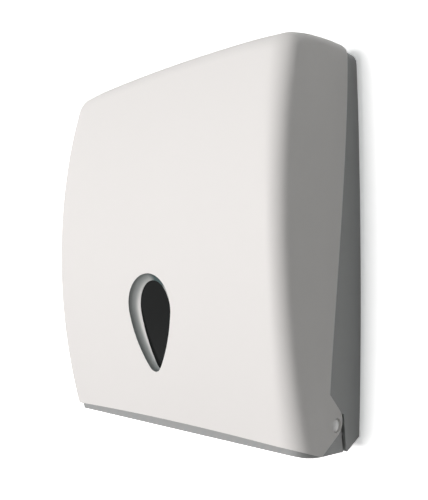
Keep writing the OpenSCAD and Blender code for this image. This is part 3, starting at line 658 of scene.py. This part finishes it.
# Lens: a flat plate of smoked clear plastic behind the funnel, held on the cover's pegs by push nuts.
lens_edge, JOIN_WITHIN = 0.2, 1e-6
smooth = skin_group("polished_skin", drift=0.01, drift_scale=20, wear=0.2, wear_scale=40,
                    grain_scale=300, grain_depth=1e-5)
smoked = finish("smoked_lens", smooth, (0.010, 0.0105, 0.0105),
                roughness=0.07, grain=0.05, Specular_IOR_Level=0.13)


def dress(node, material, edge):
    """Gives a piece that keeps its CAD form a material and rounded edges."""
    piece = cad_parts[node]
    piece.data.materials.clear()
    piece.data.materials.append(material)
    join = piece.modifiers.new("join", "WELD")
    join.merge_threshold = JOIN_WITHIN
    rounded(piece, edge)


dress("window_lens", smoked, lens_edge)

# Hinge pins: white moulded studs. A thin spigot sits in the tray's cheek, the ear turns on the thick part,
# and a domed head fills the pocket in the ear but for a thin ring around it.
TURN_STEPS = 48
pin_r, spigot_r, spigot_len, spigot_edge = 4, 2.6, 8.85, 0.3
pin_head_r, pin_head_h, pin_dome, pin_proud, pin_within, DOME_STEPS = 5.1, 1, 2.4, 0.25, 0.02, 14


def turned(name, profile, place, steps=TURN_STEPS):
    """A turned piece: the profile's (radius, length along the axis) points swept round, each swept point
    then placed by a function of the two directions across the axis and the length along it."""
    angle = np.linspace(0, 2 * math.pi, steps + 1)
    profile = np.asarray(profile, float)
    u, v = (profile[:, :1] * f(angle) for f in (np.cos, np.sin))
    return weld(name, [place(u, v, np.broadcast_to(profile[:, 1:], u.shape))])


def along_hinge(side):
    """Places a turned piece along the hinge, outwards to one side."""
    return lambda u, v, t: np.stack([side * t, hinge[0] + u, hinge[1] + v], -1)


# The pins' white is painted lighter than the cover's: painted light on their domes, which the lamp hardly
# reaches.
pin_white = finish("pin_white", moulded, (0.9, 0.885, 0.87),
                   roughness=0.2, grain=0.1, Specular_IOR_Level=0.9)
for side, node in ((-1, "hinge_pin_left"), (1, "hinge_pin_right")):
    inner, outer = sorted(abs(corner.x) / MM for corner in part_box(node))
    outer = min(outer + pin_proud, half_w - pin_within)
    inwards = np.linspace(1, 0, DOME_STEPS)
    dome = np.stack([pin_head_r * inwards, outer - pin_dome * inwards ** 2], -1)
    head = outer - pin_dome - pin_head_h
    stud = [(0, inner), (spigot_r - spigot_edge, inner), (spigot_r, inner + spigot_edge),
            (spigot_r, inner + spigot_len), (pin_r, inner + spigot_len),
            (pin_r, head), (pin_head_r, head), *dome]
    pin = turned(node + "_stud", stud, along_hinge(side))
    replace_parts(fit_out(pin, "base", pin_white), node)

# Back housing: one grey moulded tub, open to the front. Its walls lie just inside the cover's line and lap
# behind the cover's rear edge, a lip turns down along its top, and its back lies flat on the wall.
house_in, housing_t, housing_edge, lap = 3.1, 2.6, 0.6, 10
foot_rise, foot_flat_y, foot_y, step_z, seam_lean = 9, -15.5, -17, 28.5, math.tan(math.radians(8.4))
hole_x, hole_low, hole_high, hole_half, hole_r = 100, 90, 250, 15, 3
lip_h, lip_ease = 15, 10
FOOT_ROWS, STEP_ROWS, SEAM_CELLS, LAP_CELLS, LIFT_STEPS = 4, 8, 6, 5, 400
EDGE_CELLS, FIELD_CELLS, MIDDLE_CELLS, BELOW_CELLS, BETWEEN_CELLS, ABOVE_CELLS = 3, 6, 10, 2, 8, 3
HOUSE_CORNER_STEPS, HOUSE_TOP_STEPS, HOLE_STEPS, LIP_STEPS = 7, 9, 5, 5
before = np.linspace(0, crown_z, LIFT_STEPS)
after = lifted(np.stack([0 * before, 0 * before, before], -1))[:, 2]


def cells(*stops):
    """Even steps between stops: a start, then pairs of an end and a number of steps."""
    line = [np.array([stops[0]], float)]
    for end, count in zip(stops[1::2], stops[2::2]):
        line.append(np.linspace(line[-1][-1], end, count + 1)[1:])
    return np.concatenate(line)


def across_plate(x):
    """Places across the back, out to a half width of x, with a field around each wall screw."""
    return cells(-x, -hole_x - hole_half, EDGE_CELLS, -hole_x + hole_half, FIELD_CELLS,
                 hole_x - hole_half, MIDDLE_CELLS, hole_x + hole_half, FIELD_CELLS, x, EDGE_CELLS)


house_corner = corner_arc(house_in, house_in, corner_r - house_in, HOUSE_CORNER_STEPS)
corner_wall_z = np.interp(house_corner[0, 1], before, after)
wall_zs = cells(0, foot_rise, FOOT_ROWS, step_z, STEP_ROWS - FOOT_ROWS,
                hole_low - hole_half, BELOW_CELLS, hole_low + hole_half, FIELD_CELLS,
                hole_high - hole_half, BETWEEN_CELLS, hole_high + hole_half, FIELD_CELLS,
                corner_wall_z, ABOVE_CELLS)
house_z = np.interp(wall_zs, after, before)
low_z = house_z[:STEP_ROWS + 1]
low_rear = foot_flat_y * np.clip(1 - low_z / foot_rise, 0, 1)
low_front = foot_y - low_z * seam_lean
low_y = low_rear[:, None] + np.linspace(0, 1, SEAM_CELLS + 1) * (low_front - low_rear)[:, None]
high_z = house_z[STEP_ROWS:]
high_front = rear_y(high_z) - lap
depth_share = cells(0, low_front[-1] / high_front[0], SEAM_CELLS, 1, LAP_CELLS)


def house_side(y, z):
    """Points of the housing's right wall."""
    return np.stack([np.broadcast_to(side_x(z, house_in)[:, None], y.shape), y,
                     np.broadcast_to(z[:, None], y.shape)], -1)


low_side = house_side(low_y, low_z)
high_side = lifted(house_side(high_front[:, None] * depth_share, high_z))
house_top_x = np.linspace(house_corner[-1, 0], 0, HOUSE_TOP_STEPS)[1:]
over = np.concatenate([house_corner, np.stack([house_top_x, top_z(house_top_x, house_in)], -1)])
over = np.concatenate([over, over[-2::-1] * (-1, 1)])
over_front = rear_y(over[:, 1]) - lap
house_over = np.stack(np.broadcast_arrays(over[:, :1], over_front[:, None] * depth_share, over[:, 1:]), -1)
house_over = lifted(house_over)
house_over[0], house_over[-1] = high_side[-1], mirrored(high_side[-1])

# The foot closes the tub below, and the back closes it behind, with a round hole in each screw's field.
foot_chain = np.concatenate([low_side[FOOT_ROWS::-1, 0], low_side[0, 1:]])
foot_plate = np.stack([np.stack(np.broadcast_arrays(across_plate(x), y, z), -1) for x, y, z in foot_chain])
plate_x = np.stack([across_plate(x) for x in side_x(house_z[FOOT_ROWS:], house_in)])
plate = np.stack(np.broadcast_arrays(plate_x, 0.0, wall_zs[FOOT_ROWS:, None]), -1)
low_field = STEP_ROWS - FOOT_ROWS + BELOW_CELLS
high_field = low_field + FIELD_CELLS + BETWEEN_CELLS
left_field, right_field = EDGE_CELLS, EDGE_CELLS + FIELD_CELLS + MIDDLE_CELLS
plates = [plate[:low_field + 1], plate[low_field + FIELD_CELLS:high_field + 1],
          plate[high_field + FIELD_CELLS:], np.stack([plate[-1], house_over[::-1, 0]])]


def rim(block):
    """The closed loop of points round a block of a grid."""
    return np.concatenate([block[0], block[1:, -1], block[-1, -2::-1], block[-2::-1, 0]])


for first, z in ((low_field, hole_low), (high_field, hole_high)):
    band = plate[first:first + FIELD_CELLS + 1]
    plates += [band[:, :left_field + 1], band[:, left_field + FIELD_CELLS:right_field + 1],
               band[:, right_field + FIELD_CELLS:]]
    for start, x in ((left_field, -hole_x), (right_field, hole_x)):
        field = rim(band[:, start:start + FIELD_CELLS + 1])[:, ::2]
        hole = ring_to_hole(field, np.array([x, z]), hole_r, HOLE_STEPS)
        plates.append(np.stack([hole[..., 0], 0 * hole[..., 0], hole[..., 1]], -1))

# The lip hangs from the front of the top and leans back, square to the slope.
lip_top = house_over[:, -1]
lip_x = np.linspace(lip_top[0, 0], lip_top[-1, 0], len(lip_top))
lip_share = np.clip((lip_top[0, 0] - np.abs(lip_x)) / lip_ease, 0, 1)
lip_lean = lip_h * math.sin(math.radians(top_slope)) * lip_share
lip_low = np.stack([lip_x, lip_top[0, 1] + lip_lean, np.full(len(lip_x), lip_top[0, 2])], -1)
lip = between(lip_top, lip_low, LIP_STEPS)

housing_grey = finish("housing_grey", moulded, (0.337, 0.342, 0.34), roughness=0.5, grain=0.5)
tub = [p for h in (low_side, high_side) for p in (h, mirrored(h))] + [house_over, foot_plate, lip] + plates
housing = fit_out(weld("back_housing_tub", [swelled(p) for p in tub]), "base", housing_grey)
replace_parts(housing, "back_housing")
wall(housing, housing_t, housing_edge)

# Inside the tub, moulded in one with it: two towel guides, a pad around each wall screw, a boss for each
# tray screw and the hook that the lock's cam turns behind.
guide_x, guide_y, guide_z, guide_edge = (124.5, 126.5), (-24.8, -1.4), (40, 272), 0.4
pad_r, pad_low, pad_high, pad_edge = 9, 1.4, 5.8, 0.5
boss_bore_r, boss_r, boss_low, boss_high, boss_edge = 1.65, 4.2, 3.9, 12, 0.3
boss_y, boss_dx = -13, 90
lip_d, lip_z, lip_bite, catch_y, cam_low_z = -26.35, 297, 1.3, -57.4, 289.7
catch_x, catch_t, catch_arm_t, catch_edge = (15, 27), 2.6, 4, 0.4


def sloped(points):
    """Turns points built level, as high as the front of the top, by the top's slope about that front edge."""
    y, z = points[..., 1] + body_d, points[..., 2] - crown_z
    c, d = math.cos(math.radians(top_slope)), math.sin(math.radians(top_slope))
    return np.stack([points[..., 0], y * c - z * d - body_d, y * d + z * c + crown_z], -1)


def boxes(name, corners, edge, place=lambda points: points):
    """Square blocks between pairs of corners, placed by a function of their points, with rounded edges."""
    sides = []
    for low, high in corners:
        block = np.array([low, high], float)
        grid = np.stack(np.meshgrid(*block.T, indexing="ij"), -1)
        sides += [np.take(grid, end, axis) for axis in range(3) for end in (0, 1)]
    piece = weld(name, [place(side) for side in sides])
    rounded(piece, edge)
    return piece


def rings(name, inner_r, outer_r, low, high, places, edge):
    """Round bosses with a bore, one for each placing function, with rounded edges."""
    angle = np.linspace(0, 2 * math.pi, TURN_STEPS + 1)
    profile = [(inner_r, low), (outer_r, low), (outer_r, high), (inner_r, high), (inner_r, low)]
    profile = np.array(profile, float)
    u, v = (profile[:, :1] * f(angle) for f in (np.cos, np.sin))
    piece = weld(name, [place(u, v, np.broadcast_to(profile[:, 1:], u.shape)) for place in places])
    rounded(piece, edge)
    return piece


def back_to_front(x, z):
    """Places a boss along the depth, around (x, z)."""
    return lambda u, v, t: np.stack([x + u, -t, z + v], -1)


def upright(x, y):
    """Places a boss along the height, around (x, y)."""
    return lambda u, v, t: np.stack([x + u, y + v, t], -1)


guide_ends = list(zip(guide_x, guide_y, guide_z))
guides = boxes("towel_guides", [[(sx * x, y, z) for x, y, z in guide_ends] for sx in (-1, 1)], guide_edge)
pad_places = [back_to_front(x, z) for x in (-hole_x, hole_x) for z in (hole_low, hole_high)]
pads = rings("screw_pads", hole_r, pad_r, pad_low, pad_high, pad_places, pad_edge)
boss_places = [upright(x, boss_y) for x in (-boss_dx, 0, boss_dx)]
bosses = rings("tray_bosses", boss_bore_r, boss_r, boss_low, boss_high, boss_places, boss_edge)
catch_front, catch_top = catch_y - catch_t, lip_z + catch_arm_t
catch_arm = ((catch_x[0], catch_front, lip_z), (catch_x[1], lip_d + lip_bite, catch_top))
catch_hook = ((catch_x[0], catch_front, cam_low_z), (catch_x[1], catch_y, catch_top))
catch = boxes("lock_catch", [catch_arm, catch_hook], catch_edge, sloped)
for piece in (guides, pads, bosses, catch):
    fit_out(piece, "base", housing_grey)

# Tray: one grey moulded pan under the cover's lower edge. Its floor has the towel slot and rises to a front
# lip, its cheeks hold the pins, and a leaning riser and a flange behind fasten it to the housing's foot.
tray_half, tray_t, tray_in, tray_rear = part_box("bottom_tray")[1].x / MM, 2.6, 5.2, -20.4
tray_r, tray_edge = 9.8, 0.7
flat_y, keel_r, keel_tilt = -59.5, 120, 14.8
lip_top_z, cheek_z, cheek_foot, cheek_bend = 13, 27, -57.1, -45.1
flange_z, flange_half, FLANGE_Y = 12, 135.2, (-18, -11, -4.3)
slot_y, slot_r, slot_half = -41.7, 13.5, 96.5
socket_bore_r, socket_r, socket_from, socket_wall, socket_edge = 2.65, 5.6, 129.8, 1, 0.4
RISER_CELLS, RISER_ROWS, CHEEK_ROWS, CORNER_CELLS, FLOOR_STEPS, PAN_ROUNDS = 20, 4, 6, 8, 9, 30
FOOT_CELLS, TOP_CELLS, LIP_CELLS = 10, 5, 4


def floor_z(y):
    """Height of the tray's outer floor: level behind, rising like the cover's lower edge in front, with an
    arc of keel_r between the two."""
    rise = math.radians(keel_tilt)
    ahead = np.clip(flat_y + keel_r * math.tan(rise / 2) - y, 0, keel_r * math.sin(rise))
    return np.maximum(keel_r - np.sqrt(keel_r ** 2 - ahead ** 2), (flat_y - y) * math.tan(rise))


def tray_corner(front):
    """The pan's rounded front corner in plan, from the side to the front, and the front to the middle."""
    angle = np.linspace(0, math.pi / 2, CORNER_CELLS + 1)
    bend = np.stack([tray_half - tray_r * (1 - np.cos(angle)), front + tray_r * (1 - np.sin(angle))], -1)
    to_middle = np.linspace(bend[-1, 0], 0, CORNER_CELLS + 1)[1:]
    return np.concatenate([bend, np.stack([to_middle, np.full(CORNER_CELLS, front)], -1)])


def round_pan(right):
    """The whole path from its right half."""
    return np.concatenate([right, right[-2::-1] * (-1, *[1] * (right.shape[1] - 1))])


pan_front = bow(0) + tray_in
for _ in range(PAN_ROUNDS):
    pan_front = bow(floor_z(pan_front)) + tray_in
lip_front = bow(lip_top_z) + tray_in
foot_ys = cells(tray_rear, cheek_foot, FOOT_CELLS, pan_front + tray_r, LIP_CELLS)[:-1]
low_path = np.stack([0 * foot_ys + tray_half, foot_ys], -1)
low_path = np.concatenate([low_path, tray_corner(pan_front)])
low_path = round_pan(np.column_stack([low_path, floor_z(low_path[:, 1])]))
top_ys = cells(tray_rear - cheek_z * seam_lean, cheek_bend, TOP_CELLS, cheek_foot, TOP_CELLS,
               lip_front + tray_r, LIP_CELLS)[:-1]
top_zs = np.interp(top_ys, (cheek_foot, cheek_bend), (lip_top_z, cheek_z))
lip_path = tray_corner(lip_front)
high_path = np.concatenate([np.stack([0 * top_ys + tray_half, top_ys, top_zs], -1),
                            np.column_stack([lip_path, np.full(len(lip_path), lip_top_z)])])
pan_rows = cells(0, flange_z / cheek_z, RISER_ROWS, 1, CHEEK_ROWS)[:, None]
pan_wall = low_path[:, None] + pan_rows * (round_pan(high_path) - low_path)[:, None]
riser = np.linspace(pan_wall[0, :RISER_ROWS + 1], pan_wall[-1, :RISER_ROWS + 1], RISER_CELLS + 1)
shelf = np.linspace(1, -1, RISER_CELLS + 1)[:, None]
flange = np.stack([riser[:, -1], *(np.column_stack([shelf * flange_half, 0 * shelf + y, 0 * shelf + flange_z])
                                   for y in FLANGE_Y)], 1)
pan_loop = np.concatenate([low_path, riser[-2::-1, 0]])[:, :2]
slot_end = np.stack([np.clip(pan_loop[:, 0], -slot_half, slot_half), np.full(len(pan_loop), slot_y)], -1)
slot_way = pan_loop - slot_end
slot_loop = slot_end + slot_r * slot_way / np.linalg.norm(slot_way, axis=-1, keepdims=True)
pan_floor = between(pan_loop, slot_loop, FLOOR_STEPS)
pan_floor = np.concatenate([pan_floor, floor_z(pan_floor[..., 1:])], -1)
tray_grey = finish("tray_grey", moulded, (0.357, 0.36, 0.358), roughness=0.5, grain=0.5)
tray_skin = weld("bottom_tray_pan", [pan_wall, riser, flange, pan_floor])
tray = fit_out(tray_skin, "base", tray_grey)
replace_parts(tray, "bottom_tray")
wall(tray, tray_t, tray_edge)
sockets = rings("pin_sockets", socket_bore_r, socket_r, socket_from, tray_half - socket_wall,
                [along_hinge(side) for side in (-1, 1)], socket_edge)
fit_out(sockets, "base", tray_grey)

# Inside the cover, moulded in one with it: two stop ribs that rest on the buffers, and the lens's four pegs.
stop_x, stop_half, stop_y, stop_t, stop_root_z, stop_edge = 80, 6, -28.15, 2.4, 309.3, 0.4
ribs = boxes("cover_stop_ribs", [((sx * stop_x - stop_half, stop_y - stop_t, lip_z),
                                  (sx * stop_x + stop_half, stop_y, stop_root_z)) for sx in (-1, 1)],
             stop_edge, sloped)
peg_turn, peg_off, PEG_STEPS = math.radians(15), 4, 24
peg_r, peg_from, peg_to, peg_edge = 1.6, 2.5, 11.55, 0.4
tilt_back = math.asin((front_full_z - window_z) / front_r)
peg_at = [(sx * (r + peg_off) * math.cos(peg_turn),
           middle - window_z + way * (r + peg_off) * math.sin(peg_turn))
          for sx in (-1, 1) for r, middle, way in ((drop_r, drop_c[1], 1), (tip_r, tip_c[1], -1))]


def at_window(x, z):
    """Places a peg square to the window, around (x, z) from its middle."""
    c, d = math.cos(tilt_back), math.sin(tilt_back)
    front = bow(window_z)
    return lambda u, v, t: np.stack([x + u, front + t * c - (z + v) * d, window_z + t * d + (z + v) * c], -1)


peg_line = [(0, peg_from), (peg_r, peg_from), (peg_r, peg_to - peg_edge), (peg_r - peg_edge, peg_to),
            (0, peg_to)]
pegs = [turned("lens_peg_%d" % i, peg_line, at_window(*at), PEG_STEPS) for i, at in enumerate(peg_at)]
for piece in (ribs, *pegs):
    fit_out(piece, "cover", cover_white)

# Lock and fasteners: a plated barrel in the top of the cover with its nut, plug and cam, brass wafers, zinc
# plated screws, washer and push nuts, and rubber buffers. All keep their CAD forms.
plated = skin_group("plated_skin", drift=0.03, drift_scale=90, wear=0.35, wear_scale=250,
                    grain_scale=900, grain_depth=1e-5, stretch=(1, 1, 6))
lock_metal = finish("lock_metal", plated, (0.62, 0.62, 0.63), roughness=0.2, grain=0.1, Metallic=1)
zinc_steel = finish("zinc_steel", plated, (0.55, 0.56, 0.58), roughness=0.32, grain=0.3, Metallic=1)
wafer_brass = finish("wafer_brass", plated, (0.66, 0.47, 0.2), roughness=0.3, grain=0.2, Metallic=1)
buffer_rubber = finish("buffer_rubber", moulded, (0.02, 0.02, 0.02), roughness=0.8, grain=0.6)
for node, material, edge in (
        ("lock_barrel", lock_metal, 0.25), ("lock_nut", lock_metal, 0.3), ("lock_plug", lock_metal, 0.1),
        ("lock_cam", lock_metal, 0.15), ("lock_wafers", wafer_brass, 0.05), ("cam_washer", zinc_steel, 0.1),
        ("cam_screw", zinc_steel, 0.15), ("tray_screws", zinc_steel, 0.15),
        ("lens_push_nuts", zinc_steel, 0.08), ("cover_buffers", buffer_rubber, 0.3)):
    dress(node, material, edge)
